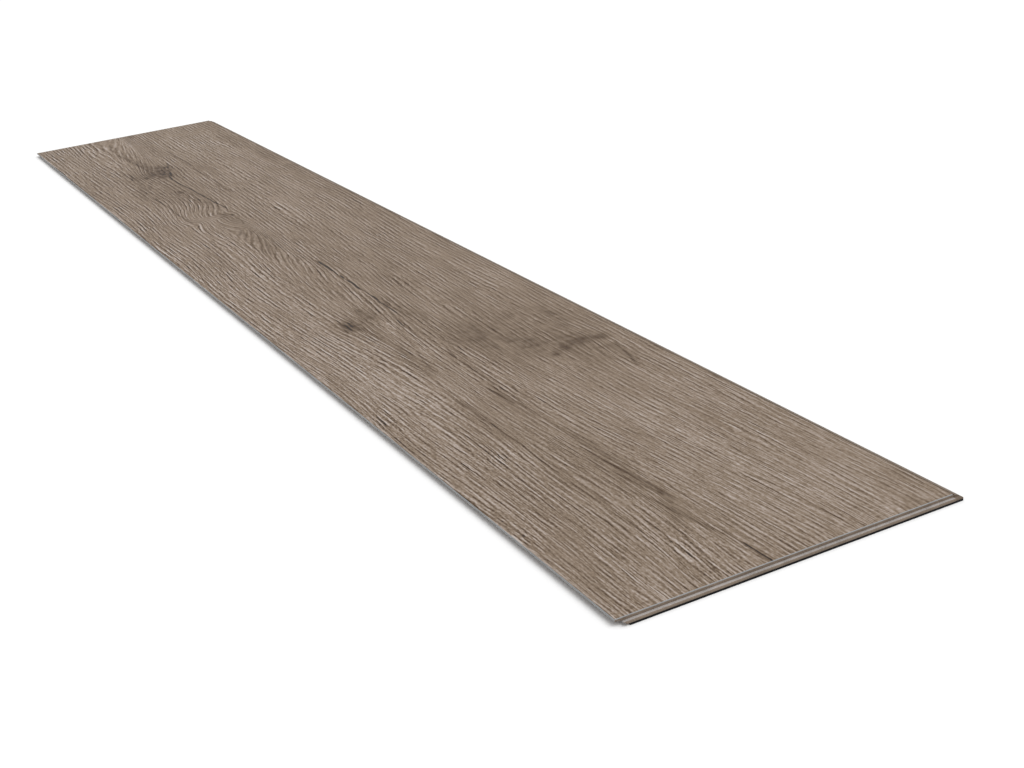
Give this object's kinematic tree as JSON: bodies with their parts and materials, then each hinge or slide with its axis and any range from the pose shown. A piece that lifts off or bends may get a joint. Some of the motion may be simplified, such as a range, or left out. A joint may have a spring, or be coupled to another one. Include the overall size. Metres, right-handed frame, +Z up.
{
  "type": "vinyl floor plank",
  "caption": "Flat wood-effect vinyl floor plank with a bevelled face, locking strips on two edges, overhanging lips on the other two and a foam backing.",
  "frame": {"origin": "under the middle of the plank's bounding box, on the floor", "axes": "+X across the plank towards the locking strip of the right long edge, +Y along the plank towards the far end, which has a lip, +Z up out of the printed face"},
  "size_m": [0.2044, 1.2224, 0.004],
  "materials": {
    "wear_layer": "matt clear wear coat over a printed grey-brown wood pattern",
    "vinyl_core": "grey filled vinyl, cut faces dull",
    "backing_pad": "black closed-cell foam"
  },
  "bodies": {
    "root": {"wear_layer": "wear_layer", "vinyl_core": "vinyl_core", "backing_pad": "backing_pad"}
  },
  "joints": []
}
